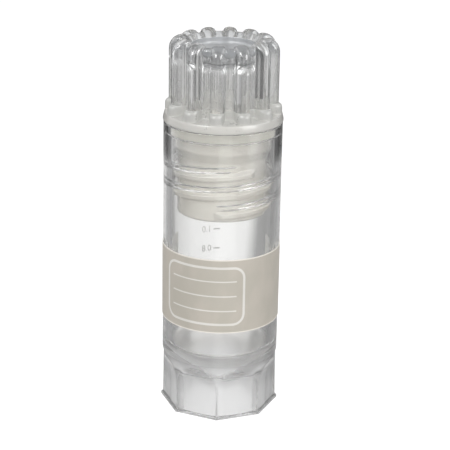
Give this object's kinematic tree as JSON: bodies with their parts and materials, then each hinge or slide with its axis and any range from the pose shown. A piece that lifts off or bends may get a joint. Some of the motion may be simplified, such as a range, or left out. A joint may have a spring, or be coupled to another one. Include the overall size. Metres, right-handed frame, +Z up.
{
  "type": "cryovial",
  "caption": "Self-standing clear plastic storage vial with a ribbed internal-thread screw cap, sealing washer and printed writing field.",
  "frame": {"origin": "centre of the foot, on the surface the vial stands on", "axes": "+Z up along the vial's axis towards the cap, -Y towards the front of the marking panel"},
  "size_m": [0.0128, 0.0128, 0.0407],
  "materials": {
    "clear_tube": "clear moulded polypropylene, glossy",
    "clear_cap": "clear moulded polypropylene, glossy, faintly hazy at the flange",
    "silicone": "cream silicone rubber, satin",
    "panel_ink": "matt beige screen-printed ink"
  },
  "bodies": {
    "vial": {"tube": "clear_tube", "marking_panel": "panel_ink"},
    "washer": {"sealing_washer": "silicone"},
    "cap": {"cap": "clear_cap"}
  },
  "joints": [
    {"name": "cap_lift", "type": "slide", "parent": "vial", "child": "washer", "axis": [0, 0, 1], "range_m": [0, 0.01025]},
    {"name": "cap_turn", "type": "hinge", "parent": "washer", "child": "cap", "pos_m": [0, 0, 0], "axis": [0, 0, 1], "range_deg": [0, 1800]}
  ],
  "couplings": [
    {"joint": "cap_turn", "follows": "cap_lift", "rad_per_m": 3065}
  ]
}
